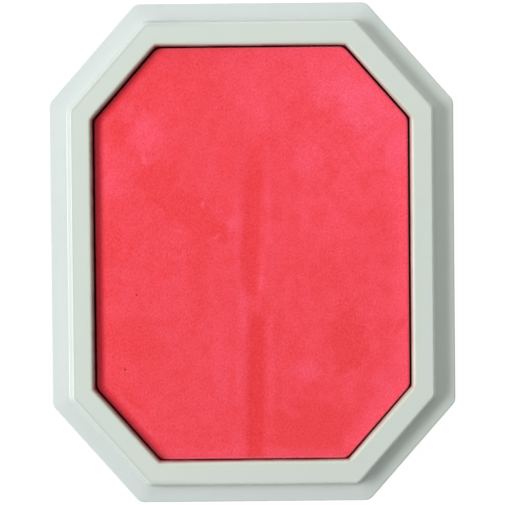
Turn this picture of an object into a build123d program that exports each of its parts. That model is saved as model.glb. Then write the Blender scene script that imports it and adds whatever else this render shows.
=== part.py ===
"""Large octagonal ink pad: a moulded casing with a stepped rim, and a lift-out inked insert.

Millimetres. +Z is up, +Y runs along the pad's length, +X across it.
The origin is at the centre of the footprint, on the surface that the feet stand on.
"""

from build123d import *
import os

os.makedirs("parts", exist_ok=True)

# ---- driving dimensions: plan view ----
# an outline is (width, length, corner cut along X, corner cut along Y, corner radius)
CASING_OUTLINE = (150.0, 185.0, 32.2, 36.5, 4.0)
RIM_OUTLINE = (135.4, 172.2, 28.7, 32.5, 3.6)
WELL_OUTLINE = (117.3, 153.2, 23.7, 26.9, 4.2)
PAD_OUTLINE = (116.0, 152.2, 23.45, 26.6, 3.6)
LEAST_RADIUS = 0.5

# ---- driving dimensions: heights above the table ----
UNDERSIDE = 1.2
FLOOR_TOP = 3.2
INSERT_SEAT = 4.0
FLANGE_EDGE = 12.6
FLANGE_ROOT = 13.45
PAD_FACE = 15.4
RIM_TOP = 18.0

# ---- casing mouldings ----
WALL = 2.0
WELL_WALL = 1.8
RIM_DRAFT = 8.5
RIM_HOLLOW_SETBACK = 0.6
CASING_EDGE_RADIUS = 0.6
RIM_OUTER_RADIUS = 1.0
RIM_INNER_RADIUS = 1.7
RIM_ROOT_RADIUS = 1.3
SHELL_FIT = 0.25
LIP_THICKNESS = 1.5
LIP_HEIGHT = 3.0
RIB_THICKNESS = 1.4
WEB_BOTTOM = 7.0
WELL_RIB_HEIGHT = 2.2
WELL_RIB_GAP = 0.2
FLOOR_RIB_SPACING = 21.0
FLOOR_RIB_COUNT = 5
FLOOR_RIB_LENGTH = 96.0
PANEL_INSET = 30.0
PANEL_DEPTH = 0.4
GATE_RADIUS = 3.5
GATE_PIP_RADIUS = 1.0

# ---- ink seal under the well wall ----
SEAL_WIDTH = 1.8
SEAL_THICKNESS = 1.2
SEAL_GROOVE_DEPTH = 0.8
SEAL_GROOVE_SLACK = 0.1

# ---- self-tapping screws that hold the two mouldings together ----
SCREW_SIDE_Y = 30.0
SCREW_END_X = 26.0
SCREW_SHANK_RADIUS = 1.4
SCREW_LENGTH = 8.0
SCREW_HEAD_RADIUS = 2.75
SCREW_HEAD_HEIGHT = 1.6
SCREW_HEAD_EDGE = 0.6
DRIVER_SLOT_LENGTH = 3.2
DRIVER_SLOT_WIDTH = 0.8
DRIVER_SLOT_DEPTH = 0.9
COUNTERBORE_RADIUS = 3.1
COUNTERBORE_DEPTH = 1.8
PILOT_FIT = 0.02
CLEARANCE_RADIUS = 1.7
BOSS_RADIUS = 3.2
BOSS_SETBACK = 1.0
FLOOR_BOSS_RADIUS = 4.0
FLOOR_BOSS_TOP = 4.2

# ---- rubber feet ----
FOOT_CENTRE = (42.0, 58.0)
FOOT_RADIUS = 6.0
FOOT_THICKNESS = 2.0
FOOT_EDGE_RADIUS = 0.5
FOOT_RECESS_SLACK = 0.2

# ---- lift-out insert, from the bottom up ----
RING_THICKNESS = 1.2
RING_WIDTH = 9.0
CLOTH_THICKNESS = 1.0
HEM_WIDTH = 8.0
PAD_EDGE_RADIUS = 0.8
LAYER_FIT = 0.1
TRAY_FLOOR = 1.2
TRAY_WALL = 1.4
FELT_FIT = 0.2
FELT_THICKNESS = 3.0
PEG_RADIUS = 1.2
PEG_FIT = 0.05
PEG_HOLE_IN_CLOTH = 1.5
PEG_SIDE = (53.0, 40.0)
PEG_END = (24.0, 71.0)

HEM_BOTTOM = INSERT_SEAT + RING_THICKNESS
TRAY_BOTTOM = HEM_BOTTOM + CLOTH_THICKNESS
FELT_BOTTOM = TRAY_BOTTOM + TRAY_FLOOR
FOAM_BOTTOM = FELT_BOTTOM + FELT_THICKNESS
FOAM_TOP = PAD_FACE - CLOTH_THICKNESS
BOSS_TOP = FLANGE_EDGE - BOSS_SETBACK
SEAL_BOTTOM = FLOOR_TOP - SEAL_GROOVE_DEPTH
WELL_WALL_BOTTOM = SEAL_BOTTOM + SEAL_THICKNESS
SCREW_SEAT = UNDERSIDE + COUNTERBORE_DEPTH


def octagon(outline, inset=0.0):
    """A stretched octagon with rounded corners, moved inwards by inset on every side."""
    width, length, cut_x, cut_y, radius = outline
    half_x = width / 2
    half_y = length / 2
    corners = [
        (half_x, half_y - cut_y),
        (half_x - cut_x, half_y),
        (cut_x - half_x, half_y),
        (-half_x, half_y - cut_y),
        (-half_x, cut_y - half_y),
        (cut_x - half_x, -half_y),
        (half_x - cut_x, -half_y),
        (half_x, cut_y - half_y),
    ]
    with BuildSketch() as shape:
        with BuildLine():
            Polyline(*corners, close=True)
        make_face()
        if inset:
            offset(amount=-inset, kind=Kind.INTERSECTION)
        fillet(shape.vertices(), max(radius - inset, LEAST_RADIUS))
    return shape.sketch


def mirrored(centre):
    """The four places that mirror one point about both vertical planes."""
    x, y = centre
    return [(x, y), (-x, y), (-x, -y), (x, -y)]


def edges_at(part, height):
    """The horizontal edges of a part that lie at one height."""
    return part.edges().filter_by_position(Axis.Z, height - 0.01, height + 0.01)


SIDE_CHANNEL = (WELL_OUTLINE[0] / 2 + WELL_WALL, CASING_OUTLINE[0] / 2 - WALL)
END_CHANNEL = (WELL_OUTLINE[1] / 2 + WELL_WALL, CASING_OUTLINE[1] / 2 - WALL)
SCREW_SIDE = (sum(SIDE_CHANNEL) / 2, SCREW_SIDE_Y)
SCREW_END = (SCREW_END_X, sum(END_CHANNEL) / 2)
SCREW_PLACES = mirrored(SCREW_SIDE) + mirrored(SCREW_END)
PEG_PLACES = mirrored(PEG_SIDE) + mirrored(PEG_END)


# ---- top frame: skirt, sloping flange that a lid sits on, raised rim and well wall ----
with BuildPart() as top_frame:
    with BuildSketch(Plane.XY.offset(UNDERSIDE)):
        add(octagon(CASING_OUTLINE))
    extrude(amount=FLANGE_EDGE - UNDERSIDE)
    with BuildSketch(Plane.XY.offset(FLANGE_EDGE)):
        add(octagon(CASING_OUTLINE))
    with BuildSketch(Plane.XY.offset(FLANGE_ROOT)):
        add(octagon(RIM_OUTLINE))
    loft(ruled=True)
    with BuildSketch(Plane.XY.offset(FLANGE_ROOT)):
        add(octagon(RIM_OUTLINE))
    extrude(amount=RIM_TOP - FLANGE_ROOT, taper=RIM_DRAFT)
    fillet(edges_at(top_frame, FLANGE_EDGE), CASING_EDGE_RADIUS)
    fillet(edges_at(top_frame, FLANGE_ROOT), RIM_ROOT_RADIUS)
    fillet(edges_at(top_frame, RIM_TOP), RIM_OUTER_RADIUS)
    # the well, open from top to bottom, with a rounded lip
    with BuildSketch(Plane.XY.offset(UNDERSIDE)):
        add(octagon(WELL_OUTLINE))
    extrude(amount=RIM_TOP - UNDERSIDE, mode=Mode.SUBTRACT)
    well_lip = edges_at(top_frame, RIM_TOP).filter_by(
        lambda edge: abs(edge.center().X) < WELL_OUTLINE[0] / 2 + WELL_WALL / 2
        and abs(edge.center().Y) < WELL_OUTLINE[1] / 2 + WELL_WALL / 2
    )
    fillet(well_lip, RIM_INNER_RADIUS)
    # hollow underneath: below the flange, then up into the rim
    with BuildSketch(Plane.XY.offset(UNDERSIDE)):
        add(octagon(CASING_OUTLINE, WALL))
        add(octagon(WELL_OUTLINE, -WELL_WALL), mode=Mode.SUBTRACT)
    extrude(amount=FLANGE_EDGE - WALL - UNDERSIDE, mode=Mode.SUBTRACT)
    with BuildSketch(Plane.XY.offset(UNDERSIDE)):
        add(octagon(RIM_OUTLINE, WALL + RIM_HOLLOW_SETBACK))
        add(octagon(WELL_OUTLINE, -WELL_WALL), mode=Mode.SUBTRACT)
    extrude(amount=RIM_TOP - WALL - UNDERSIDE, mode=Mode.SUBTRACT)
    # the well wall stops short of the floor, on the seal
    with BuildSketch(Plane.XY.offset(UNDERSIDE)):
        add(octagon(CASING_OUTLINE, WALL))
    extrude(amount=WELL_WALL_BOTTOM - UNDERSIDE, mode=Mode.SUBTRACT)
    # screw bosses, each tied to the well wall and the skirt by a web
    with BuildSketch(Plane.XY.offset(FLOOR_BOSS_TOP)):
        with Locations(*SCREW_PLACES):
            Circle(BOSS_RADIUS)
    extrude(amount=BOSS_TOP - FLOOR_BOSS_TOP)
    with BuildSketch(Plane.XY.offset(WEB_BOTTOM)):
        with Locations(*mirrored(SCREW_SIDE)):
            Rectangle(SIDE_CHANNEL[1] - SIDE_CHANNEL[0] + WALL / 2, RIB_THICKNESS)
        with Locations(*mirrored(SCREW_END)):
            Rectangle(RIB_THICKNESS, END_CHANNEL[1] - END_CHANNEL[0] + WALL / 2)
    extrude(amount=BOSS_TOP - WEB_BOTTOM)
    with BuildSketch(Plane.XY.offset(FLOOR_BOSS_TOP)):
        with Locations(*SCREW_PLACES):
            Circle(SCREW_SHANK_RADIUS + PILOT_FIT)
    extrude(amount=SCREW_LENGTH - (FLOOR_BOSS_TOP - SCREW_SEAT), mode=Mode.SUBTRACT)
top_frame.part.label = "top_frame"
export_step(top_frame.part, "parts/top_frame.step")

# ---- base tray: floor, locating lip, well rib, screw seats and foot recesses ----
with BuildPart() as base_tray:
    with BuildSketch(Plane.XY.offset(UNDERSIDE)):
        add(octagon(CASING_OUTLINE, WALL + SHELL_FIT))
    extrude(amount=FLOOR_TOP - UNDERSIDE)
    # lip that locates the tray inside the skirt
    with BuildSketch(Plane.XY.offset(FLOOR_TOP)):
        add(octagon(CASING_OUTLINE, WALL + SHELL_FIT))
        add(octagon(CASING_OUTLINE, WALL + SHELL_FIT + LIP_THICKNESS), mode=Mode.SUBTRACT)
    extrude(amount=LIP_HEIGHT)
    # rib that backs the well wall from outside
    with BuildSketch(Plane.XY.offset(FLOOR_TOP)):
        add(octagon(WELL_OUTLINE, -WELL_WALL - WELL_RIB_GAP - RIB_THICKNESS))
        add(octagon(WELL_OUTLINE, -WELL_WALL - WELL_RIB_GAP), mode=Mode.SUBTRACT)
    extrude(amount=WELL_RIB_HEIGHT)
    # ribs that the insert stands on
    with BuildSketch(Plane.XY.offset(FLOOR_TOP)):
        with GridLocations(FLOOR_RIB_SPACING, 0, FLOOR_RIB_COUNT, 1):
            Rectangle(RIB_THICKNESS, FLOOR_RIB_LENGTH)
        with GridLocations(0, FLOOR_RIB_LENGTH, 1, 2):
            Rectangle(FLOOR_RIB_SPACING * (FLOOR_RIB_COUNT - 1), RIB_THICKNESS)
    extrude(amount=INSERT_SEAT - FLOOR_TOP)
    # seats for the screws
    with BuildSketch(Plane.XY.offset(FLOOR_TOP)):
        with Locations(*SCREW_PLACES):
            Circle(FLOOR_BOSS_RADIUS)
    extrude(amount=FLOOR_BOSS_TOP - FLOOR_TOP)
    with BuildSketch(Plane.XY.offset(UNDERSIDE)):
        with Locations(*SCREW_PLACES):
            Circle(COUNTERBORE_RADIUS)
    extrude(amount=COUNTERBORE_DEPTH, mode=Mode.SUBTRACT)
    with BuildSketch(Plane.XY.offset(UNDERSIDE)):
        with Locations(*SCREW_PLACES):
            Circle(CLEARANCE_RADIUS)
    extrude(amount=FLOOR_BOSS_TOP - UNDERSIDE, mode=Mode.SUBTRACT)
    # groove for the seal
    with BuildSketch(Plane.XY.offset(SEAL_BOTTOM)):
        add(octagon(WELL_OUTLINE, -SEAL_WIDTH - SEAL_GROOVE_SLACK))
        add(octagon(WELL_OUTLINE, SEAL_GROOVE_SLACK), mode=Mode.SUBTRACT)
    extrude(amount=SEAL_GROOVE_DEPTH, mode=Mode.SUBTRACT)
    # recesses for the feet
    with BuildSketch(Plane.XY.offset(UNDERSIDE)):
        with Locations(*mirrored(FOOT_CENTRE)):
            Circle(FOOT_RADIUS + FOOT_RECESS_SLACK)
    extrude(amount=FOOT_THICKNESS - UNDERSIDE, mode=Mode.SUBTRACT)
    # shallow blank panel below, with the moulding's gate mark in the middle
    with BuildSketch(Plane.XY.offset(UNDERSIDE)):
        add(octagon(WELL_OUTLINE, PANEL_INSET))
        Circle(GATE_RADIUS, mode=Mode.SUBTRACT)
        Circle(GATE_PIP_RADIUS)
    extrude(amount=PANEL_DEPTH, mode=Mode.SUBTRACT)
base_tray.part.label = "base_tray"
export_step(base_tray.part, "parts/base_tray.step")

# ---- ink seal: a rubber band in the floor's groove, squeezed by the well wall ----
with BuildPart() as ink_seal:
    with BuildSketch(Plane.XY.offset(SEAL_BOTTOM)):
        add(octagon(WELL_OUTLINE, -SEAL_WIDTH))
        add(octagon(WELL_OUTLINE), mode=Mode.SUBTRACT)
    extrude(amount=SEAL_THICKNESS)
ink_seal.part.label = "ink_seal"
export_step(ink_seal.part, "parts/ink_seal.step")

# ---- casing screws: pan heads in the counterbores, shanks up into the bosses ----
with BuildPart() as casing_screws:
    with BuildSketch(Plane.XY.offset(SCREW_SEAT - SCREW_HEAD_HEIGHT)):
        with Locations(*SCREW_PLACES):
            Circle(SCREW_HEAD_RADIUS)
    extrude(amount=SCREW_HEAD_HEIGHT)
    fillet(edges_at(casing_screws, SCREW_SEAT - SCREW_HEAD_HEIGHT), SCREW_HEAD_EDGE)
    with BuildSketch(Plane.XY.offset(SCREW_SEAT)):
        with Locations(*SCREW_PLACES):
            Circle(SCREW_SHANK_RADIUS)
    extrude(amount=SCREW_LENGTH)
    chamfer(edges_at(casing_screws, SCREW_SEAT + SCREW_LENGTH), SCREW_SHANK_RADIUS / 2)
    with BuildSketch(Plane.XY.offset(SCREW_SEAT - SCREW_HEAD_HEIGHT)):
        with Locations(*SCREW_PLACES):
            Rectangle(DRIVER_SLOT_LENGTH, DRIVER_SLOT_WIDTH)
            Rectangle(DRIVER_SLOT_WIDTH, DRIVER_SLOT_LENGTH)
    extrude(amount=DRIVER_SLOT_DEPTH, mode=Mode.SUBTRACT)
casing_screws.part.label = "casing_screws"
export_step(casing_screws.part, "parts/casing_screws.step")

# ---- rubber feet ----
for foot_name, foot_centre in zip(
    ["foot_back_right", "foot_back_left", "foot_front_left", "foot_front_right"],
    mirrored(FOOT_CENTRE),
):
    with BuildPart() as foot:
        with BuildSketch():
            with Locations(foot_centre):
                Circle(FOOT_RADIUS)
        extrude(amount=FOOT_THICKNESS)
        fillet(edges_at(foot, 0), FOOT_EDGE_RADIUS)
    foot.part.label = foot_name
    export_step(foot.part, f"parts/{foot_name}.step")

# ---- hem ring: clamps the cloth's hem under the insert tray ----
with BuildPart() as hem_ring:
    with BuildSketch(Plane.XY.offset(INSERT_SEAT)):
        add(octagon(PAD_OUTLINE, CLOTH_THICKNESS))
        add(octagon(PAD_OUTLINE, CLOTH_THICKNESS + RING_WIDTH), mode=Mode.SUBTRACT)
        with Locations(*PEG_PLACES):
            Circle(PEG_RADIUS + PEG_FIT, mode=Mode.SUBTRACT)
    extrude(amount=RING_THICKNESS)
hem_ring.part.label = "hem_ring"
export_step(hem_ring.part, "parts/hem_ring.step")

# ---- insert tray: stiff tray that carries the felt, with staking pegs below ----
with BuildPart() as insert_tray:
    with BuildSketch(Plane.XY.offset(TRAY_BOTTOM)):
        add(octagon(PAD_OUTLINE, CLOTH_THICKNESS + LAYER_FIT))
    extrude(amount=TRAY_FLOOR + FELT_THICKNESS)
    with BuildSketch(Plane.XY.offset(FELT_BOTTOM)):
        add(octagon(PAD_OUTLINE, CLOTH_THICKNESS + LAYER_FIT + TRAY_WALL))
    extrude(amount=FELT_THICKNESS, mode=Mode.SUBTRACT)
    with BuildSketch(Plane.XY.offset(INSERT_SEAT)):
        with Locations(*PEG_PLACES):
            Circle(PEG_RADIUS)
    extrude(amount=TRAY_BOTTOM - INSERT_SEAT)
insert_tray.part.label = "insert_tray"
export_step(insert_tray.part, "parts/insert_tray.step")

# ---- felt reservoir: the thick felt that stores the ink ----
with BuildPart() as felt_reservoir:
    with BuildSketch(Plane.XY.offset(FELT_BOTTOM)):
        add(octagon(PAD_OUTLINE, CLOTH_THICKNESS + LAYER_FIT + TRAY_WALL + FELT_FIT))
    extrude(amount=FELT_THICKNESS)
felt_reservoir.part.label = "felt_reservoir"
export_step(felt_reservoir.part, "parts/felt_reservoir.step")

# ---- foam core: the soft layer that lifts ink to the face ----
with BuildPart() as foam_core:
    with BuildSketch(Plane.XY.offset(FOAM_BOTTOM)):
        add(octagon(PAD_OUTLINE, CLOTH_THICKNESS + LAYER_FIT))
    extrude(amount=FOAM_TOP - FOAM_BOTTOM)
foam_core.part.label = "foam_core"
export_step(foam_core.part, "parts/foam_core.step")

# ---- pad cloth: the inked face, its sides, and the hem turned under the tray ----
with BuildPart() as pad_cloth:
    with BuildSketch(Plane.XY.offset(HEM_BOTTOM)):
        add(octagon(PAD_OUTLINE))
    extrude(amount=PAD_FACE - HEM_BOTTOM)
    fillet(edges_at(pad_cloth, PAD_FACE), PAD_EDGE_RADIUS)
    with BuildSketch(Plane.XY.offset(TRAY_BOTTOM)):
        add(octagon(PAD_OUTLINE, CLOTH_THICKNESS))
    extrude(amount=FOAM_TOP - TRAY_BOTTOM, mode=Mode.SUBTRACT)
    with BuildSketch(Plane.XY.offset(HEM_BOTTOM)):
        add(octagon(PAD_OUTLINE, CLOTH_THICKNESS + HEM_WIDTH))
        with Locations(*PEG_PLACES):
            Circle(PEG_HOLE_IN_CLOTH)
    extrude(amount=CLOTH_THICKNESS, mode=Mode.SUBTRACT)
pad_cloth.part.label = "pad_cloth"
export_step(pad_cloth.part, "parts/pad_cloth.step")
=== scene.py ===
"""Looks for the octagonal ink pad: moulded casing, inked cloth face, light, floor and camera.

Metres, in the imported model's frame: +Z up, +Y along the pad, origin on the table under its centre.
"""

import math

import bpy
import numpy as np
from mathutils import Matrix, Vector, noise


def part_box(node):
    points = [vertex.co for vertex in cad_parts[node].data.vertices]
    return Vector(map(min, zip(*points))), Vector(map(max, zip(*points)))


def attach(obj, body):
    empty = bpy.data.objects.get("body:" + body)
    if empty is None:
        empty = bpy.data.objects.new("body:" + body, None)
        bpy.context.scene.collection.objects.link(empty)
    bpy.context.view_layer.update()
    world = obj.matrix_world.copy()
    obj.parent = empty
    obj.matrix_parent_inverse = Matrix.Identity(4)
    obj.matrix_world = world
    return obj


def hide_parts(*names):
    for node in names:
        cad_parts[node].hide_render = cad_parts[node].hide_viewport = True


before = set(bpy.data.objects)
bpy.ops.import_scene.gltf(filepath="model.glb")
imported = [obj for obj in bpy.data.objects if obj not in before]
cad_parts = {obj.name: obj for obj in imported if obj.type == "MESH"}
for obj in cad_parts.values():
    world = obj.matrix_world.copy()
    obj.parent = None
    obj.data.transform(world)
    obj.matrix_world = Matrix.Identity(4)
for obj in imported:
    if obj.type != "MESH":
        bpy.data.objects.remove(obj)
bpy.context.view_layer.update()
MM = 0.001

PAD_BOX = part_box("pad_cloth")
FOAM_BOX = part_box("foam_core")
FELT_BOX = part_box("felt_reservoir")
PAD_SIZE = PAD_BOX[1] - PAD_BOX[0]
PAD_FACE = PAD_BOX[1].z

# the well is wider and longer than the pad by both sides' gaps together
GAP_ACROSS = 1.3 * MM
GAP_ALONG = 1.0 * MM

# outlines, as (width, length, corner cut along X, corner cut along Y, corner radius)
PAD_OUTLINE = (PAD_SIZE.x, PAD_SIZE.y, 23.45 * MM, 26.6 * MM, 3.6 * MM)
WELL_OUTLINE = (PAD_SIZE.x + GAP_ACROSS, PAD_SIZE.y + GAP_ALONG, 23.7 * MM, 26.9 * MM, 4.2 * MM)


# ======== outlines and patches ========

LEAST_RADIUS = 0.2 * MM
CORNER_STEPS = 4


def edge_lines(outline):
    """The eight edges' outward directions and their distances from the centre."""
    width, length, cut_x, cut_y, _ = outline
    slope = math.atan2(cut_x, cut_y)
    turns = [
        0, slope, math.pi / 2, math.pi - slope,
        math.pi, math.pi + slope, 1.5 * math.pi, 2 * math.pi - slope,
    ]
    corner = (width / 2, length / 2 - cut_y)
    slant = corner[0] * math.cos(slope) + corner[1] * math.sin(slope)
    far = [width / 2, slant, length / 2, slant] * 2
    return turns, far


def corner_arc(outline, first, inset, steps):
    """Points of the rounded corner between edge number first and the next one."""
    turns, far = edge_lines(outline)
    radius = max(outline[4] - inset, LEAST_RADIUS)
    a, b = turns[first], turns[(first + 1) % 8]
    if b < a:
        b += 2 * math.pi
    lines = np.array([[math.cos(a), math.sin(a)], [math.cos(b), math.sin(b)]])
    reach = np.array([far[first], far[(first + 1) % 8]]) - inset - radius
    centre = np.linalg.solve(lines, reach)
    angles = np.linspace(a, b, steps + 1)
    around = np.stack([np.cos(angles), np.sin(angles)], 1)
    return centre + radius * around


def between(start, end, steps):
    """Evenly spaced points from start to end, with both ends."""
    share = np.linspace(0, 1, steps + 1)[:, None]
    return start * (1 - share) + end * share


def outline_side(outline, slant_edge, inset, counts):
    """One side of the outline: from the middle of a slanting edge to the middle of the next one.

    counts holds the steps along half a slanting edge, round a corner and along the straight edge.
    """
    half_slant, arc, straight = counts
    first = corner_arc(outline, slant_edge, inset, arc)
    second = corner_arc(outline, (slant_edge + 1) % 8, inset, arc)
    before = corner_arc(outline, (slant_edge - 1) % 8, inset, arc)[-1]
    after = corner_arc(outline, (slant_edge + 2) % 8, inset, arc)[0]
    pieces = [
        between((before + first[0]) / 2, first[0], half_slant)[:-1],
        first[:-1],
        between(first[-1], second[0], straight)[:-1],
        second[:-1],
        between(second[-1], (second[-1] + after) / 2, half_slant),
    ]
    return np.concatenate(pieces)


def outline_sides(outline, inset, spacing):
    """The top, left, bottom and right sides, anticlockwise, each with both its end points."""
    width, length, cut_x, cut_y, _ = outline
    half_slant = max(2, round(math.hypot(cut_x, cut_y) / 2 / spacing))
    across = (half_slant, CORNER_STEPS, max(2, round((width - 2 * cut_x) / spacing)))
    along = (half_slant, CORNER_STEPS, max(2, round((length - 2 * cut_y) / spacing)))
    return [
        outline_side(outline, edge, inset, counts)
        for edge, counts in ((1, across), (3, along), (5, across), (7, along))
    ]


def outline_loop(outline, inset, spacing):
    """The whole outline as one closed loop of points, anticlockwise."""
    return np.concatenate([side[:-1] for side in outline_sides(outline, inset, spacing)])


def patch_points(outline, inset, spacing):
    """A grid of points that fills the outline, rows from the bottom side to the top side."""
    top, left, bottom, right = outline_sides(outline, inset, spacing)
    top, left = top[::-1], left[::-1]
    u = np.linspace(0, 1, len(bottom))[None, :, None]
    v = np.linspace(0, 1, len(left))[:, None, None]
    ruled = (1 - v) * bottom[None] + v * top[None] + (1 - u) * left[:, None] + u * right[:, None]
    corners = (
        (1 - u) * (1 - v) * bottom[0] + u * (1 - v) * bottom[-1]
        + (1 - u) * v * top[0] + u * v * top[-1]
    )
    return ruled - corners


def patch_rim(rows, columns):
    """Indices of a patch's outer points, in the same order as outline_loop."""
    grid = np.arange(rows * columns).reshape(rows, columns)
    top = grid[-1, ::-1][:-1]
    left = grid[::-1, 0][:-1]
    bottom = grid[0, :-1]
    right = grid[:-1, -1]
    return np.concatenate([top, left, bottom, right])


def quads_of(rows, columns):
    """The faces of a patch, facing up."""
    grid = np.arange(rows * columns).reshape(rows, columns)
    faces = np.stack([grid[:-1, :-1], grid[:-1, 1:], grid[1:, 1:], grid[1:, :-1]], -1)
    return faces.reshape(-1, 4).tolist()


def strip(upper, lower):
    """The faces between two closed loops of points, facing outwards."""
    after_upper, after_lower = np.roll(upper, -1), np.roll(lower, -1)
    return np.stack([upper, lower, after_lower, after_upper], -1).tolist()


def new_piece(name, points, faces, material, smooth_angle=50):
    """A mesh object with one material, shaded smooth except at sharp edges."""
    mesh = bpy.data.meshes.new(name)
    mesh.from_pydata([tuple(map(float, p)) for p in points], [], faces)
    mesh.validate()
    mesh.update()
    mesh.shade_smooth()
    mesh.set_sharp_from_angle(angle=math.radians(smooth_angle))
    piece = bpy.data.objects.new(name, mesh)
    bpy.context.scene.collection.objects.link(piece)
    mesh.materials.append(material)
    return piece


# ======== materials ========

# a colour mix node's sockets
MIX_SHARE, MIX_FIRST, MIX_SECOND = 0, 6, 7
MIX_RESULT = 2

RAGGED_LUMP = 7 * MM
BAND_FADE = 1.4 * MM


class Paint:
    """A Principled material with a few short ways to add nodes to it."""

    def __init__(self, name):
        self.material = bpy.data.materials.new(name)
        self.material.use_nodes = True
        self.tree = self.material.node_tree
        self.shader = self.tree.nodes["Principled BSDF"]
        self.place = self.node("ShaderNodeTexCoord").outputs["Object"]
        self.ragged = None

    def node(self, kind, **settings):
        """A new node of a kind, with its own settings."""
        made = self.tree.nodes.new(kind)
        for key, value in settings.items():
            setattr(made, key, value)
        return made

    def put(self, value, socket):
        """Link a value that comes from a node; set a plain one on the socket."""
        if isinstance(value, bpy.types.NodeSocket):
            self.tree.links.new(value, socket)
        else:
            socket.default_value = value

    def math(self, operation, *values):
        """One step of arithmetic."""
        made = self.node("ShaderNodeMath", operation=operation)
        for value, socket in zip(values, made.inputs):
            self.put(value, socket)
        return made.outputs[0]

    def product(self, value, *others):
        """Values multiplied together."""
        for other in others:
            value = self.math("MULTIPLY", value, other)
        return value

    def noise(self, size, detail=2.0, roughness=0.5, stretch=(1, 1, 1), distortion=0.0):
        """Noise whose lumps are about size metres across, from 0 to 1."""
        mapping = self.node("ShaderNodeMapping")
        mapping.inputs["Scale"].default_value = stretch
        self.put(self.place, mapping.inputs["Vector"])
        made = self.node("ShaderNodeTexNoise")
        made.inputs["Scale"].default_value = 1 / size
        made.inputs["Detail"].default_value = detail
        made.inputs["Roughness"].default_value = roughness
        made.inputs["Distortion"].default_value = distortion
        self.put(mapping.outputs[0], made.inputs["Vector"])
        return made.outputs[0]

    def remap(self, value, low, high, to_low=0.0, to_high=1.0, smooth=True):
        """value from low..high to to_low..to_high, held at the ends."""
        made = self.node("ShaderNodeMapRange")
        made.interpolation_type = "SMOOTHSTEP" if smooth else "LINEAR"
        for key, number in zip(("From Min", "From Max", "To Min", "To Max"),
                               (low, high, to_low, to_high)):
            self.put(number, made.inputs[key])
        self.put(value, made.inputs["Value"])
        return made.outputs[0]

    def mix(self, share, first, second, blend="MIX"):
        """The first colour, with a share of the second laid over it."""
        made = self.node("ShaderNodeMix", data_type="RGBA", blend_type=blend)
        self.put(share, made.inputs[MIX_SHARE])
        self.put(first, made.inputs[MIX_FIRST])
        self.put(second, made.inputs[MIX_SECOND])
        return made.outputs[MIX_RESULT]

    def tint(self, share, colour, factors):
        """A colour whose red, green and blue are multiplied by factors, where share is 1."""
        return self.mix(share, colour, (*factors, 1), "MULTIPLY")

    def bump(self, height, distance, strength=1.0, under=None):
        """Fine relief of a height, on top of another relief if there is one."""
        made = self.node("ShaderNodeBump")
        made.inputs["Strength"].default_value = strength
        made.inputs["Distance"].default_value = distance
        self.put(height, made.inputs["Height"])
        if under is not None:
            self.put(under, made.inputs["Normal"])
        return made.outputs[0]

    def axes(self):
        """The point's own X, Y and Z."""
        made = self.node("ShaderNodeSeparateXYZ")
        self.put(self.place, made.inputs[0])
        return made.outputs

    def outside(self, outline):
        """How far a point lies outside an outline, in metres; negative inside it."""
        turns, far = edge_lines(outline)
        x, y, _ = self.axes()
        x, y = self.math("ABSOLUTE", x), self.math("ABSOLUTE", y)
        slanting = self.math(
            "ADD",
            self.math("MULTIPLY", x, math.cos(turns[1])),
            self.math("MULTIPLY", y, math.sin(turns[1])),
        )
        beside = self.math("SUBTRACT", x, far[0])
        beyond = self.math("SUBTRACT", y, far[2])
        corner = self.math("SUBTRACT", slanting, far[1])
        return self.math("MAXIMUM", self.math("MAXIMUM", beside, beyond), corner)

    def spot(self, x, y, width, length, turn=0.0, core=0.0):
        """1 at a place on the face, fading to 0 at a ragged ellipse; core is the part that stays 1."""
        mapping = self.node("ShaderNodeMapping", vector_type="TEXTURE")
        mapping.inputs["Location"].default_value = (x, y, 0)
        mapping.inputs["Rotation"].default_value = (0, 0, turn)
        mapping.inputs["Scale"].default_value = (width / 2, length / 2, 1)
        self.put(self.place, mapping.inputs["Vector"])
        flat = self.node("ShaderNodeVectorMath", operation="MULTIPLY")
        flat.inputs[1].default_value = (1, 1, 0)
        self.put(mapping.outputs[0], flat.inputs[0])
        size = self.node("ShaderNodeVectorMath", operation="LENGTH")
        self.put(flat.outputs[0], size.inputs[0])
        if self.ragged is None:
            self.ragged = self.math("MULTIPLY_ADD", self.noise(RAGGED_LUMP, 3.0, 0.6), 2.0, -1.0)
        return self.remap(self.math("ADD", size.outputs["Value"], self.ragged), 1.0, core)

    def band(self, x, lean, half_width, near, far):
        """1 on the strip about x + lean * Y, fading past its sides and ends; near, far are (y, fade)."""
        across, along, _ = self.axes()
        middle = self.math("MULTIPLY_ADD", along, lean, x)
        beside = self.math("ABSOLUTE", self.math("SUBTRACT", across, middle))
        within = self.remap(beside, half_width - BAND_FADE, half_width + BAND_FADE, 1.0, 0.0)
        risen = self.remap(along, near[0] - near[1], near[0] + near[1])
        fallen = self.remap(along, far[0] - far[1], far[0] + far[1], 1.0, 0.0)
        return self.product(risen, fallen, within)

    def finish(self, colour=None, roughness=None, normal=None, **sockets):
        """Connect the shader and give the material; other sockets take plain values."""
        if colour is not None:
            self.put(colour, self.shader.inputs["Base Color"])
        if roughness is not None:
            self.put(roughness, self.shader.inputs["Roughness"])
        if normal is not None:
            self.put(normal, self.shader.inputs["Normal"])
        for key, value in sockets.items():
            self.shader.inputs[key.replace("_", " ")].default_value = value
        return self.material


# changes on the casing, each between two distances outwards from the well's edge
LIP_YELLOWS = (0.8 * MM, 4.0 * MM)
WALL_STARTS = (6.9 * MM, 7.7 * MM)
WALL_ENDS = (9.4 * MM, 10.4 * MM)
FLANGE_SKY_TINT = (9.2 * MM, 10.6 * MM)
WELL_WALL = (-0.10 * MM, 0.05 * MM)

# the base stays clean: ink on the casing begins between these heights
INK_BEGINS = (6 * MM, 9 * MM)


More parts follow.
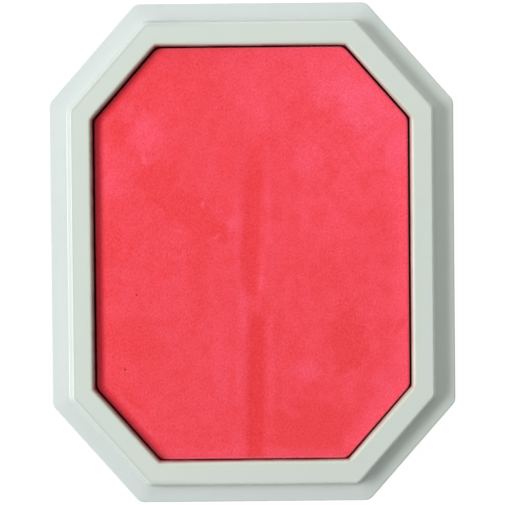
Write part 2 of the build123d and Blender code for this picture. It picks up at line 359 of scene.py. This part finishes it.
def casing_plastic():
    """Pale grey-green moulded plastic, finely textured, a little dusty, with ink on the well's lip."""
    paint = Paint("casing_plastic")
    clean = (0.575, 0.630, 0.568, 1)
    cool = (0.562, 0.623, 0.580, 1)
    dust = (0.47, 0.50, 0.47, 1)
    speck = (0.36, 0.38, 0.35, 1)
    red_film = (0.30, 0.014, 0.022, 1)
    dark_left_film = (0.18, 0.028, 0.032, 1)
    soaked = (0.16, 0.006, 0.009, 1)
    x, _, z = paint.axes()
    past_well = paint.outside(WELL_OUTLINE)
    colour = paint.mix(paint.noise(38 * MM, 2.0), clean, cool)
    dusty = paint.remap(paint.noise(6 * MM, 4.0, 0.6), 0.45, 0.8, 0.0, 0.10)
    colour = paint.mix(dusty, colour, dust)
    specked = paint.remap(paint.noise(1.1 * MM, 2.0, 0.5), 0.76, 0.80, 0.0, 0.25)
    colour = paint.mix(specked, colour, speck)
    # the rim yellows a little beside the well; the flange outside it is painted cooler, a painted
    # reflection of blue sky light on its outward slope, least on the right
    yellowed = paint.remap(past_well, *LIP_YELLOWS, 0.75, 0.0)
    colour = paint.tint(yellowed, colour, (1.0, 0.985, 0.93))
    painted_sky_tint = paint.product(
        paint.remap(past_well, *FLANGE_SKY_TINT),
        paint.remap(x, 30 * MM, 62 * MM, 1.0, 0.0),
    )
    colour = paint.tint(painted_sky_tint, colour, (0.985, 0.975, 1.035))
    # painted shade: the rim's outer wall on the left, which faces the lamp, is darkened to tone down its
    # light
    painted_wall_shade = paint.product(
        paint.remap(past_well, *WALL_STARTS),
        paint.remap(past_well, *WALL_ENDS, 1.0, 0.0),
        paint.remap(x, -45 * MM, -5 * MM, 1.0, 0.0),
    )
    colour = paint.tint(painted_wall_shade, colour, (0.885, 0.89, 0.905))
    # ink that has crept up from the well: thin and patchy on the lip, black-red down the wall; on the lip
    # it is darker and less red towards the left and weaker towards the right
    patchy = paint.remap(paint.noise(9 * MM, 3.0, 0.6), 0.3, 0.7, 0.85, 1.12)
    heavy = paint.remap(x, 10 * MM, 58 * MM, 0.98, 0.62)
    reach = paint.math(
        "ADD",
        paint.remap(x, -58 * MM, -5 * MM, 1.55 * MM, 0.85 * MM),
        paint.remap(x, 30 * MM, 58 * MM, 0.0, 0.50 * MM),
    )
    crept = paint.remap(past_well, 0.0, reach, 1.0, 0.0, smooth=False)
    above = paint.remap(z, *INK_BEGINS)
    leftward = paint.remap(x, -58 * MM, -15 * MM, 1.0, 0.0)
    film = paint.mix(leftward, red_film, dark_left_film)
    colour = paint.mix(paint.product(crept, patchy, heavy, above), colour, film)
    wettest = paint.remap(x, 0, 58 * MM, 0.96, 0.80)
    wall = paint.remap(past_well, *WELL_WALL, wettest, 0.0)
    colour = paint.mix(paint.product(wall, above), colour, soaked)
    normal = paint.bump(paint.noise(14 * MM, 1.0), 0.03 * MM, 0.6)
    normal = paint.bump(paint.noise(0.35 * MM, 3.0, 0.6), 0.006 * MM, 0.5, normal)
    rough = paint.remap(paint.noise(11 * MM, 3.0), 0.3, 0.7, 0.31, 0.42)
    return paint.finish(colour, rough, normal, Specular_IOR_Level=0.45)


def inked_cloth():
    """Close-napped cloth soaked with pinkish red ink: a fine nap, a wet fold, wet and dry patches, with
    painted shade and highlights on its fold, wrinkles, creases, edges and near end.
    """
    paint = Paint("inked_cloth")
    dry_left = (0.806, 0.062, 0.092, 1)
    dry_right = (0.866, 0.070, 0.107, 1)
    wet = (0.774, 0.044, 0.056, 1)
    pale = (0.872, 0.093, 0.157, 1)
    pink = (0.900, 0.082, 0.133, 1)
    # the fold's colour: pooled ink, and painted shade of its hollow
    soaked = (0.742, 0.033, 0.041, 1)
    blotch = (0.775, 0.036, 0.044, 1)
    lint = (0.09, 0.010, 0.012, 1)
    fibre_and_sheen = (0.900, 0.170, 0.230, 1)
    x, y, _ = paint.axes()
    past_edge = paint.outside(PAD_OUTLINE)
    # dry cloth, clouded and blotched by ink; lighter towards the right and pinker towards its border
    # there, partly the cloth's own tone and partly painted light where the lamps fall off to the right and
    # where the border rises to meet them
    rightward = paint.remap(x, -25 * MM, 40 * MM)
    colour = paint.mix(rightward, dry_left, dry_right)
    cloudy = paint.remap(paint.noise(26 * MM, 3.0, 0.55), 0.35, 0.65, 0.0, 0.32)
    colour = paint.mix(cloudy, colour, wet)
    blotchy = paint.remap(paint.noise(4.5 * MM, 3.0, 0.6, (1.0, 0.8, 1.0)), 0.35, 0.68, 0.0, 0.42)
    colour = paint.mix(blotchy, colour, blotch)
    border = paint.product(paint.remap(past_edge, -9 * MM, -1.5 * MM, 0.0, 0.6), rightward)
    colour = paint.mix(border, colour, pink)
    # wet and pale places, the fold where ink has pooled with painted shade in its hollow, painted
    # highlights on the raised wrinkles, and painted shade that makes the near end a little darker
    for places, inked in (
        (wet_and_crease_shade_places(paint), wet), (pale_and_crease_highlight_places(paint), pale),
        (fold_places(paint), soaked), (painted_wrinkle_highlights(paint), pale),
    ):
        for place, share in places:
            colour = paint.mix(paint.product(place, share), colour, inked)
    # painted shade: the face darkens a little towards the near end
    nearward = paint.remap(y, -45 * MM, 45 * MM, 1.0, 0.0)
    colour = paint.tint(nearward, colour, (0.984, 0.99, 0.985))
    for place in lint_places(paint):
        colour = paint.mix(place, colour, lint)
    # painted shadow: the left edge, in the lip's shadow, is tinted a deeper red; loose fibres stand up
    # along the turned edge elsewhere, with a painted sheen that grows towards the right
    painted_left_edge_shade = paint.product(
        paint.remap(past_edge, -3.8 * MM, -2.0 * MM),
        paint.remap(x, -50 * MM, -22 * MM, 1.0, 0.0),
    )
    colour = paint.tint(painted_left_edge_shade, colour, (0.96, 0.62, 0.66))
    fuzz_and_sheen = paint.product(
        paint.remap(past_edge, -0.75 * MM, -0.15 * MM, 0.0, 0.6),
        paint.remap(x, -58 * MM, -20 * MM, 0.1, 1.0),
    )
    colour = paint.mix(fuzz_and_sheen, colour, fibre_and_sheen)
    # nap: short fibres in small tufts, lighter at their tips and darker between them: partly the nap's
    # grain, partly painted sheen on the tips and painted shade between them
    tuft = paint.noise(0.8 * MM, 3.0, 0.7)
    fibre = paint.noise(0.40 * MM, 2.0, 0.6, (1.0, 0.6, 1.0))
    nap = paint.math("ADD", paint.product(tuft, 0.5), paint.product(fibre, 0.5))
    colour = paint.tint(paint.remap(nap, 0.50, 0.64), colour, (1.045, 1.42, 1.38))
    colour = paint.tint(paint.remap(nap, 0.50, 0.36), colour, (0.935, 0.68, 0.69))
    normal = paint.bump(tuft, 0.09 * MM, 1.0)
    normal = paint.bump(fibre, 0.08 * MM, 1.0, normal)
    rough = paint.remap(paint.noise(5 * MM, 2.0), 0.3, 0.7, 0.80, 0.92)
    return paint.finish(
        colour, rough, normal, Specular_IOR_Level=0.25, Sheen_Weight=0.12, Sheen_Roughness=0.4
    )


def spread(paint, places):
    """Spots on the face, each with its share.

    A place is (x, y, width, length, turn, core, share), with its sizes in millimetres.
    """
    return [
        (paint.spot(x * MM, y * MM, width * MM, length * MM, turn, core), share)
        for x, y, width, length, turn, core, share in places
    ]


def wet_and_crease_shade_places(paint):
    """Where the face is darker with ink, and painted shade in the hollows of its creases, and how
    strongly.
    """
    places = (
        (-33, 27, 21, 17, -0.2, 0.6, 0.80), (-22, 14.5, 34, 15, -0.62, 0.6, 0.90),
        (-20.5, -8, 11, 40, 0, 0.4, 0.50), (-24, 14, 46, 60, 0.4, 0, 0.15),
        (-49, 45, 8, 14, 0.2, 0.4, 0.80), (-52, 6, 10, 24, 0, 0.4, 0.55),
        (-45, -32, 25, 21, 0, 0.5, 0.65), (-46, -53, 4.5, 12, 0.6, 0.3, 0.85),
        (34, -33, 18, 29, 0.1, 0.5, 0.80), (30, -8, 36, 26, 0, 0, 0.30),
        (20, -66, 44, 30, 0, 0.4, 0.75), (54, -28, 4, 11, -0.5, 0.3, 0.60),
        (36, 38, 2.4, 24, 0.6, 0, 0.45), (-41.4, 34.5, 1.8, 7, 0.3, 0.2, 0.80),
        (8, -56, 90, 60, 0, 0, 0.20),
    )
    return spread(paint, places)


def pale_and_crease_highlight_places(paint):
    """Where the face is drier and paler, and painted highlights on the ridges of its creases, and how
    strongly.
    """
    places = (
        (41, 52, 24, 60, 0.75, 0, 0.75), (38, 59, 14, 32, 0.84, 0.3, 0.30),
        (53, 38, 9, 30, 0, 0.3, 0.35), (28, 64, 44, 30, 0, 0, 0.30),
        (-39, 43, 18, 24, 0, 0.1, 0.50), (-39.6, 35.5, 2.4, 8, 0.3, 0.2, 0.70),
        (21, 34.5, 16, 20, 0, 0.1, 0.45), (0, 56, 20, 30, 0, 0, 0.25),
        (20, -44, 15, 12, 0, 0.1, 0.40), (-52, 28, 16, 24, 0, 0, 0.35),
        (-12, -38, 10, 40, 0, 0, 0.25), (-18.3, 18, 2.4, 4, 0, 0.2, 0.70),
        (-27.5, 8.5, 8, 1.8, -0.1, 0, 0.60), (-7.6, 10.5, 5, 10, 0, 0, 0.45),
        (-13.6, 5.8, 6, 1.6, 0.7, 0, 0.60), (44, -23, 5, 3, 0.5, 0, 0.70),
        (48, -50, 14, 40, -0.3, 0, 0.30), (-5, -75, 100, 9, 0, 0.2, 0.30),
    )
    return spread(paint, places)


def fold_places(paint):
    """The fold down the middle, in two lengths, where ink has pooled and its hollow is painted darker as
    shade, and how strongly.
    """
    return [
        (paint.band(-0.85 * MM, 0.065, 3.1 * MM, (-16 * MM, 3 * MM), (36 * MM, 12 * MM)), 0.62),
        (paint.band(2.1 * MM, 0.024, 3.1 * MM, (-90 * MM, 3 * MM), (-23 * MM, 3 * MM)), 0.80),
    ]


def painted_wrinkle_highlights(paint):
    """Painted highlights on the raised lines beside the fold, and how strongly."""
    places = (
        (3.6, -8, 3.2, 40, -0.11, 0, 0.30), (-5.6, 8, 4.0, 70, 0, 0, 0.30),
        (6.2, 18, 4.0, 60, 0, 0, 0.30), (-3.6, -22, 4.0, 26, 0, 0, 0.35),
        (6.6, -46, 3.4, 56, 0, 0, 0.20), (-5.2, -48, 4.0, 50, 0, 0, 0.25),
    )
    return spread(paint, places)


def lint_places(paint):
    """Two dark specks of lint."""
    return [
        paint.spot(-43 * MM, -15 * MM, 1.3 * MM, 1.2 * MM),
        paint.spot(-47.5 * MM, -42.7 * MM, 1.1 * MM, 1.0 * MM),
    ]


def plain_rubber(name, shade):
    """Matt rubber with a fine grain."""
    paint = Paint(name)
    grain = paint.noise(0.5 * MM, 3.0, 0.6)
    dusty = paint.remap(paint.noise(4 * MM, 3.0), 0.4, 0.75, 0.0, 0.3)
    colour = paint.mix(dusty, (shade, shade, shade * 1.04, 1), (shade * 1.8, shade * 1.75, shade * 1.7, 1))
    rough = paint.remap(grain, 0.3, 0.7, 0.62, 0.82)
    return paint.finish(colour, rough, paint.bump(grain, 0.02 * MM, 0.6), Specular_IOR_Level=0.35)


def screw_steel():
    """Zinc-plated steel with faint turning marks."""
    paint = Paint("screw_steel")
    marks = paint.noise(0.3 * MM, 2.0, 0.6)
    colour = paint.mix(marks, (0.62, 0.62, 0.60, 1), (0.72, 0.72, 0.71, 1))
    rough = paint.remap(paint.noise(1.2 * MM, 2.0), 0.3, 0.7, 0.24, 0.40)
    return paint.finish(colour, rough, paint.bump(marks, 0.004 * MM, 0.5), Metallic=1.0)


def insert_plastic():
    """Off-white plastic of the insert's tray and ring, tinted by ink."""
    paint = Paint("insert_plastic")
    inked = paint.remap(paint.noise(8 * MM, 3.0, 0.6), 0.45, 0.75, 0.05, 0.7)
    colour = paint.mix(inked, (0.72, 0.70, 0.66, 1), (0.70, 0.28, 0.30, 1))
    fine = paint.noise(0.4 * MM, 2.0)
    rough = paint.remap(paint.noise(6 * MM, 2.0), 0.3, 0.7, 0.38, 0.52)
    return paint.finish(colour, rough, paint.bump(fine, 0.006 * MM, 0.5))


def inked_felt():
    """Thick wool felt full of ink: matted fibres, dark where it is wettest."""
    paint = Paint("inked_felt")
    matted = paint.noise(0.8 * MM, 5.0, 0.7, (1, 1, 2.5), 0.6)
    patch = paint.noise(12 * MM, 2.0)
    colour = paint.mix(patch, (0.36, 0.012, 0.022, 1), (0.52, 0.022, 0.035, 1))
    colour = paint.mix(paint.remap(matted, 0.5, 0.75, 0, 0.5), colour, (0.66, 0.06, 0.08, 1))
    return paint.finish(colour, 0.85, paint.bump(matted, 0.15 * MM, 0.7))


def inked_foam():
    """Open-celled foam dyed through with ink."""
    paint = Paint("inked_foam")
    cells = paint.node("ShaderNodeTexVoronoi", feature="DISTANCE_TO_EDGE")
    cells.inputs["Scale"].default_value = 1 / (0.7 * MM)
    paint.put(paint.place, cells.inputs["Vector"])
    wall = paint.remap(cells.outputs["Distance"], 0.0, 0.25)
    # painted shade: the cells' hollows are darker than their walls
    colour = paint.mix(wall, (0.74, 0.06, 0.085, 1), (0.34, 0.012, 0.020, 1))
    return paint.finish(colour, 0.8, paint.bump(wall, 0.15 * MM, 0.8))


# ======== the inked face ========

FACE_SPACING = 0.56 * MM
FACE_LEVEL = PAD_FACE - 0.3 * MM
EDGE_ROLL = 0.7 * MM
EDGE_STEPS = 6
SIDE_STEPS = 10
SIDE_TUCK = 0.12 * MM
CLOTH = 1.0 * MM
HEM_WIDTH = 3.4 * MM

# how far the face has crept to the left and towards the near end, and how much longer it has grown
FACE_DRIFT = np.array([-0.07, -0.16]) * MM
FACE_STRETCH = np.array([0.0, 0.0016])

# the cloth simulation: a coarse sheet, and how much of its movement the face keeps
SHEET_SPACING = 2.4 * MM
SHEET_FRAMES = 30
SHEET_SHARE = 0.06
SHEET_CAP = 0.08 * MM
SHEET_BLURS = 3
PINNED_HEM = 2.5 * MM
LOOSE_LUMP = 12 * MM
SPARE_CLOTH = 0.02
FOAM_PUSH = 0.1

# reading the sheet at the face's finer spacing
FINER = 4
FINE_BLURS = 12

# the fold down the middle: its depth and half width, and each shoulder's height and half width
FOLD_DEPTH = 0.07 * MM
FOLD_WIDTH = 3.4 * MM
SHOULDER_AWAY = 6.2 * MM
LEFT_SHOULDER = (0.03 * MM, 2.2 * MM)
RIGHT_SHOULDER = (0.04 * MM, 2.0 * MM)

# the wrinkle that crosses the gap in the fold
WRINKLE_HEIGHT = 0.06 * MM
WRINKLE_WIDTH = 1.0 * MM

# waves in the foam under the cloth, as (height, size)
WAVES = (0.09 * MM, 31 * MM)
RIPPLES = (0.012 * MM, 4 * MM)

# small creases, as (x, y, direction, half length, half width, height)
CREASES = [
    (-39.8 * MM, 35.2 * MM, -1.1, 2.2 * MM, 0.45 * MM, 0.14 * MM),
    (-41.6 * MM, 36.0 * MM, -1.1, 1.6 * MM, 0.40 * MM, -0.10 * MM),
    (39.0 * MM, 37.0 * MM, -1.05, 9.0 * MM, 0.7 * MM, -0.06 * MM),
    (33.0 * MM, 43.0 * MM, -0.55, 7.0 * MM, 0.8 * MM, 0.05 * MM),
    (-46.3 * MM, -53.0 * MM, -1.0, 3.0 * MM, 0.8 * MM, -0.12 * MM),
    (51.0 * MM, -29.0 * MM, 1.1, 3.0 * MM, 0.8 * MM, -0.10 * MM),
    (-8.0 * MM, 8.0 * MM, 0.5, 6.0 * MM, 0.9 * MM, 0.06 * MM),
]


def soft_bell(distance, width):
    """1 on a line, falling smoothly to nothing either side of it."""
    return np.exp(-(distance / width) ** 2)


def faded(value, low, high, over):
    """1 between low and high, fading to 0 past each end."""
    rise = np.clip((value - low) / over + 0.5, 0, 1)
    fall = np.clip((high - value) / over + 0.5, 0, 1)
    return rise * rise * (3 - 2 * rise) * fall * fall * (3 - 2 * fall)


def rolling(points, size, seed):
    """Smooth noise, about -1 to 1, at each point, with lumps about size metres across."""
    place = Vector((seed * 7.3, seed * 3.1, seed * 1.7))
    return np.array([noise.noise(Vector((x / size, y / size, 0)) + place) for x, y in points])


def inside_by(points, outline):
    """How far each point lies inside an outline, in metres."""
    turns, far = edge_lines(outline)
    across = np.abs(points)
    slanting = across @ np.array([math.cos(turns[1]), math.sin(turns[1])])
    return np.minimum(
        np.minimum(far[0] - across[:, 0], far[2] - across[:, 1]), far[1] - slanting
    )


def settled_cloth():
    """Heights of the cloth after a simulation: pinned all round, loose in places, pushed up by foam.

    The result is a regular grid over the face's box, rows from the near end to the far end.
    """
    columns = round(PAD_SIZE.x / SHEET_SPACING)
    rows = round(PAD_SIZE.y / SHEET_SPACING)
    across = np.linspace(-PAD_SIZE.x / 2, PAD_SIZE.x / 2, columns)
    along = np.linspace(-PAD_SIZE.y / 2, PAD_SIZE.y / 2, rows)
    flat = np.stack(np.meshgrid(across, along), -1).reshape(-1, 2)
    mesh = bpy.data.meshes.new("cloth_trial")
    mesh.from_pydata([(x, y, 0.0) for x, y in flat.tolist()], [], quads_of(rows, columns))
    sheet = bpy.data.objects.new("cloth_trial", mesh)
    bpy.context.scene.collection.objects.link(sheet)
    hem = sheet.vertex_groups.new(name="hem")
    hem.add(np.flatnonzero(inside_by(flat, PAD_OUTLINE) < PINNED_HEM).tolist(), 1.0, "REPLACE")
    loose = sheet.vertex_groups.new(name="loose")
    for index, lump in enumerate(rolling(flat, LOOSE_LUMP, 9)):
        loose.add([index], float(np.clip(0.5 - 0.8 * lump, 0, 1)), "REPLACE")
    settings = sheet.modifiers.new("cloth", "CLOTH").settings
    settings.vertex_group_mass = "hem"
    settings.vertex_group_shrink = "loose"
    settings.shrink_min = -SPARE_CLOTH
    settings.effector_weights.gravity = 0
    settings.use_pressure = True
    settings.uniform_pressure_force = FOAM_PUSH
    settings.mass = 0.1
    settings.tension_stiffness = 40
    settings.compression_stiffness = 40
    settings.bending_stiffness = 0.5
    settings.air_damping = 10
    for damping in ("tension_damping", "compression_damping", "shear_damping"):
        setattr(settings, damping, 50)
    for frame_number in range(1, SHEET_FRAMES + 1):
        bpy.context.scene.frame_set(frame_number)
    graph = bpy.context.evaluated_depsgraph_get()
    settled = sheet.evaluated_get(graph).to_mesh()
    heights = np.array([vertex.co.z for vertex in settled.vertices]).reshape(rows, columns)
    bpy.data.objects.remove(sheet)
    bpy.data.meshes.remove(mesh)
    bpy.context.scene.frame_set(1)
    return np.clip(blurred(heights, SHEET_BLURS) * SHEET_SHARE, -SHEET_CAP, SHEET_CAP)


def blurred(heights, times):
    """A grid of heights, each averaged with its neighbours, so many times over."""
    for _ in range(times):
        edged = np.pad(heights, 1, "edge")
        beside = edged[1:-1, :-2] + edged[1:-1, 2:] + edged[:-2, 1:-1] + edged[2:, 1:-1]
        heights = (4 * heights + beside) / 8
    return heights


def read_grid(heights, points):
    """Heights of a regular grid over the face's box, at each point, smoothly between its values."""
    rows, columns = heights.shape
    fine_columns, fine_rows = FINER * columns, FINER * rows
    fine_x = np.linspace(0, columns - 1, fine_columns)
    fine_y = np.linspace(0, rows - 1, fine_rows)
    wide = np.array([np.interp(fine_x, np.arange(columns), row) for row in heights])
    fine = np.array([np.interp(fine_y, np.arange(rows), column) for column in wide.T]).T
    fine = blurred(fine, FINE_BLURS)
    u = (points[:, 0] / PAD_SIZE.x + 0.5) * (fine_columns - 1)
    v = (points[:, 1] / PAD_SIZE.y + 0.5) * (fine_rows - 1)
    left = np.clip(u.astype(int), 0, fine_columns - 2)
    below = np.clip(v.astype(int), 0, fine_rows - 2)
    u, v = u - left, v - below
    return (
        fine[below, left] * (1 - u) * (1 - v) + fine[below, left + 1] * u * (1 - v)
        + fine[below + 1, left] * (1 - u) * v + fine[below + 1, left + 1] * u * v
    )


def face_relief(points):
    """Height of the face above its level: the fold, its shoulders, creases and slow waves."""
    x, y = points[:, 0], points[:, 1]
    # the fold down the middle, in two lengths with a pinched gap between them
    wander = 0.6 * MM * rolling(points * [0, 1], 30 * MM, 1)
    upper = faded(y, -16 * MM, 42 * MM, 16 * MM)
    lower = faded(y, -77 * MM, -23 * MM, 10 * MM)
    folded = upper + lower
    off = x + 0.4 * MM - wander - 1.4 * MM * (y < -20 * MM)
    relief = -FOLD_DEPTH * folded * soft_bell(off, FOLD_WIDTH)
    for away, (height, width) in ((-SHOULDER_AWAY, LEFT_SHOULDER), (SHOULDER_AWAY, RIGHT_SHOULDER)):
        relief += height * folded * soft_bell(off - away, width)
    # a raised wrinkle that crosses the gap
    run = np.clip((1 * MM - y) / (22 * MM), 0, 1)
    wrinkle = x - (5.4 * MM - 3.6 * MM * run ** 1.5)
    lasting = faded(y, -21 * MM, 2 * MM, 8 * MM)
    relief += WRINKLE_HEIGHT * soft_bell(wrinkle, WRINKLE_WIDTH) * lasting
    for at_x, at_y, turn, long, wide, high in CREASES:
        along = (x - at_x) * math.cos(turn) + (y - at_y) * math.sin(turn)
        across = (y - at_y) * math.cos(turn) - (x - at_x) * math.sin(turn)
        relief += high * soft_bell(across, wide) * soft_bell(along, long)
    for (height, size), seed in ((WAVES, 2), (RIPPLES, 4)):
        relief += height * rolling(points, size, seed)
    relief += read_grid(settled_cloth(), points)
    # the face's border stands a little high on the right and sinks a little on the left
    lean = np.clip(x / (50 * MM), -1, 1)
    border = np.exp(-inside_by(points, PAD_OUTLINE) / (6 * MM))
    relief += (0.36 * MM * lean - 0.04 * MM) * border
    return relief


class Skin:
    """Points and faces of a closed soft piece, grown loop by loop from the rim of its upper face."""

    def __init__(self, outline, spacing, layers, rows, columns):
        self.outline = outline
        self.spacing = spacing
        self.layers = layers
        self.faces = quads_of(rows, columns)
        self.count = sum(len(layer) for layer in layers)
        self.last = patch_rim(rows, columns)

    def add_loop(self, inset, height):
        """One more loop of points, inset from the outline and joined to the last one."""
        loop = outline_loop(self.outline, inset, self.spacing)
        self.layers.append(np.column_stack([loop, np.broadcast_to(height, len(loop))]))
        here = np.arange(self.count, self.count + len(loop))
        self.faces.extend(strip(self.last, here))
        self.count += len(loop)
        self.last = here

    def piece(self, name, material):
        """The finished object."""
        return new_piece(name, np.concatenate(self.layers), self.faces, material)


def pad_cover(material):
    """The cloth: face, rolled edge, sides and the hem turned under, closed on its inner side."""
    grid = patch_points(PAD_OUTLINE, EDGE_ROLL, FACE_SPACING)
    rows, columns = grid.shape[:2]
    flat = grid.reshape(-1, 2)
    heights = FACE_LEVEL + face_relief(flat)
    skin = Skin(PAD_OUTLINE, FACE_SPACING, [np.column_stack([flat, heights])], rows, columns)
    edge_height = heights[skin.last]
    for step in range(1, EDGE_STEPS + 1):
        turn = step / EDGE_STEPS * math.pi / 2
        drop = EDGE_ROLL * (1 - math.cos(turn))
        skin.add_loop(EDGE_ROLL * (1 - math.sin(turn)), edge_height - drop)
    side_top = edge_height - EDGE_ROLL
    bottom = PAD_BOX[0].z
    for step in range(1, SIDE_STEPS + 1):
        share = step / SIDE_STEPS
        tuck = SIDE_TUCK * math.sin(share * math.pi)
        skin.add_loop(tuck, side_top * (1 - share) + bottom * share)
    # the face's creep and stretch, fading to nothing at the foot of the sides
    for layer in skin.layers:
        risen = np.clip((layer[:, 2:] - bottom) / (FACE_LEVEL - bottom), 0, 1)
        layer[:, :2] += (FACE_DRIFT + FACE_STRETCH * layer[:, :2]) * risen
    for inset in (HEM_WIDTH / 3, HEM_WIDTH * 2 / 3, HEM_WIDTH):
        skin.add_loop(inset, bottom)
    hem_top = bottom + CLOTH
    for inset in (HEM_WIDTH, HEM_WIDTH / 2, CLOTH):
        skin.add_loop(inset, hem_top)
    for share in (0.5, 1.0):
        skin.add_loop(CLOTH, hem_top * (1 - share) + FOAM_BOX[1].z * share)
    skin.faces.append(skin.last.tolist())
    return skin.piece("pad_cover", material)


SLAB_SPACING = 2.0 * MM
SLAB_STEPS = 6
SLAB_LUMP = 5 * MM
LEAST_SLAB_RADIUS = 1.0 * MM


def slab(name, box, outline, material, roll, relief):
    """A closed soft slab that fills a CAD box: two uneven faces and a side rolled at both edges."""
    grid = patch_points(outline, roll, SLAB_SPACING)
    rows, columns = grid.shape[:2]
    flat = grid.reshape(-1, 2)
    low, high = box[0].z, box[1].z
    top = high - relief * (1 + rolling(flat, SLAB_LUMP, 5))
    base = low + relief * (1 + rolling(flat, SLAB_LUMP, 6))
    layers = [np.column_stack([flat, top]), np.column_stack([flat, base])]
    skin = Skin(outline, SLAB_SPACING, layers, rows, columns)
    skin.faces += [[index + len(flat) for index in face[::-1]] for face in quads_of(rows, columns)]
    rim = skin.last
    for step in range(1, SLAB_STEPS):
        share = step / SLAB_STEPS
        bulge = math.sin(share * math.pi) ** 0.5
        skin.add_loop(roll * (1 - bulge), top[rim] * (1 - share) + base[rim] * share)
    skin.faces.extend(strip(skin.last, rim + len(flat)))
    return skin.piece(name, material)


def inner_outline(box, inset):
    """The pad's outline moved in to fit a CAD box; its cut corners shorten as it moves."""
    size = box[1] - box[0]
    _, _, cut_x, cut_y, radius = PAD_OUTLINE
    radius = max(radius - inset, LEAST_SLAB_RADIUS)
    return (size.x, size.y, cut_x - inset * 0.5, cut_y - inset * 0.6, radius)


# ======== building ========

casing = casing_plastic()
cloth = inked_cloth()
steel = screw_steel()
tray_plastic = insert_plastic()
seal = plain_rubber("seal_rubber", 0.02)
foot = plain_rubber("foot_rubber", 0.10)

FINISHES = {
    "top_frame": casing, "base_tray": casing, "ink_seal": seal, "casing_screws": steel,
    "foot_back_right": foot, "foot_back_left": foot,
    "foot_front_left": foot, "foot_front_right": foot,
    "hem_ring": tray_plastic, "insert_tray": tray_plastic,
}
for node, finish in FINISHES.items():
    for material_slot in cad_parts[node].material_slots:
        material_slot.material = finish

cover = pad_cover(cloth)
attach(cover, "pad_insert")
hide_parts("pad_cloth")

foam = slab(
    "foam_layer", FOAM_BOX, inner_outline(FOAM_BOX, 1.1 * MM), inked_foam(),
    roll=0.3 * MM, relief=0.04 * MM,
)
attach(foam, "pad_insert")
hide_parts("foam_core")

felt = slab(
    "felt_layer", FELT_BOX, inner_outline(FELT_BOX, 2.7 * MM), inked_felt(),
    roll=0.4 * MM, relief=0.06 * MM,
)
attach(felt, "pad_insert")
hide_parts("felt_reservoir")


# ======== floor, light and camera ========

FLOOR_HALF = 3.0
FLOOR_GLOW = 0.94
ROOM_LIGHT = 0.25

LENS = 200
SENSOR = 36
VIEW_WIDTH = 187.1 * MM
CAMERA_AIM = Vector((0.08 * MM, 0.20 * MM, 14.4 * MM))
CAMERA_FARWARD = 30 * MM
CAMERA_TURN = math.radians(0.55)
CAMERA_CLIP = 20


def pale_floor():
    """A plain white table top, lit from within so that it stays white."""
    paint = Paint("pale_floor")
    paint.finish((0.12, 0.12, 0.12, 1), 0.9, Specular_IOR_Level=0.1)
    paint.shader.inputs["Emission Color"].default_value = (1, 1, 1, 1)
    paint.shader.inputs["Emission Strength"].default_value = FLOOR_GLOW
    points = [(x * FLOOR_HALF, y * FLOOR_HALF, 0) for x, y in ((-1, -1), (1, -1), (1, 1), (-1, 1))]
    floor = new_piece("floor", points, [[0, 1, 2, 3]], paint.material)


def window(name, azimuth, elevation, distance, size, watts):
    """A soft rectangular light that faces the pad, azimuth measured from +X towards +Y."""
    lamp = bpy.data.lights.new(name, "AREA")
    lamp.shape = "RECTANGLE"
    lamp.size, lamp.size_y = size
    lamp.energy = watts
    light = bpy.data.objects.new(name, lamp)
    bpy.context.scene.collection.objects.link(light)
    around, up = math.radians(azimuth), math.radians(elevation)
    away = Vector((math.cos(up) * math.cos(around), math.cos(up) * math.sin(around), math.sin(up)))
    light.location = away * distance
    light.rotation_mode = "QUATERNION"
    light.rotation_quaternion = away.to_track_quat("Z", "Y")


def lights():
    """A long window on the left, weaker light beyond the far end and overhead, an even room."""
    window("left_window", 177, 35, 1.6, (0.92, 0.34), 17.9)
    window("left_window_top", 177, 43, 1.6, (0.70, 0.25), 5.9)
    window("left_window_near_end", 205, 31, 1.6, (0.40, 0.34), 4.7)
    window("far_window", 90, 17, 1.0, (0.60, 0.35), 2.0)
    window("overhead_panel", 45, 60, 0.9, (0.70, 0.70), 2.05)
    world = bpy.data.worlds.new("room")
    world.use_nodes = True
    background = world.node_tree.nodes["Background"]
    background.inputs["Color"].default_value = (1, 1, 1, 1)
    background.inputs["Strength"].default_value = ROOM_LIGHT
    bpy.context.scene.world = world


def camera():
    """A long lens above the pad, a touch towards its far end, turned a little about its own axis."""
    data = bpy.data.cameras.new("camera")
    data.lens = LENS
    data.sensor_width = SENSOR
    data.clip_end = CAMERA_CLIP
    distance = VIEW_WIDTH * LENS / SENSOR
    offset = Vector((0.0, CAMERA_FARWARD, 0.0))
    offset.z = math.sqrt(distance ** 2 - offset.length_squared)
    eye = bpy.data.objects.new("camera", data)
    bpy.context.scene.collection.objects.link(eye)
    eye.location = CAMERA_AIM + offset
    look = offset.normalized()
    up = Vector((math.sin(CAMERA_TURN), math.cos(CAMERA_TURN), 0))
    side = up.cross(look).normalized()
    up = look.cross(side)
    eye.rotation_euler = Matrix((side, up, look)).transposed().to_euler()
    bpy.context.scene.camera = eye


pale_floor()
lights()
camera()
bpy.context.scene.view_settings.view_transform = "Standard"
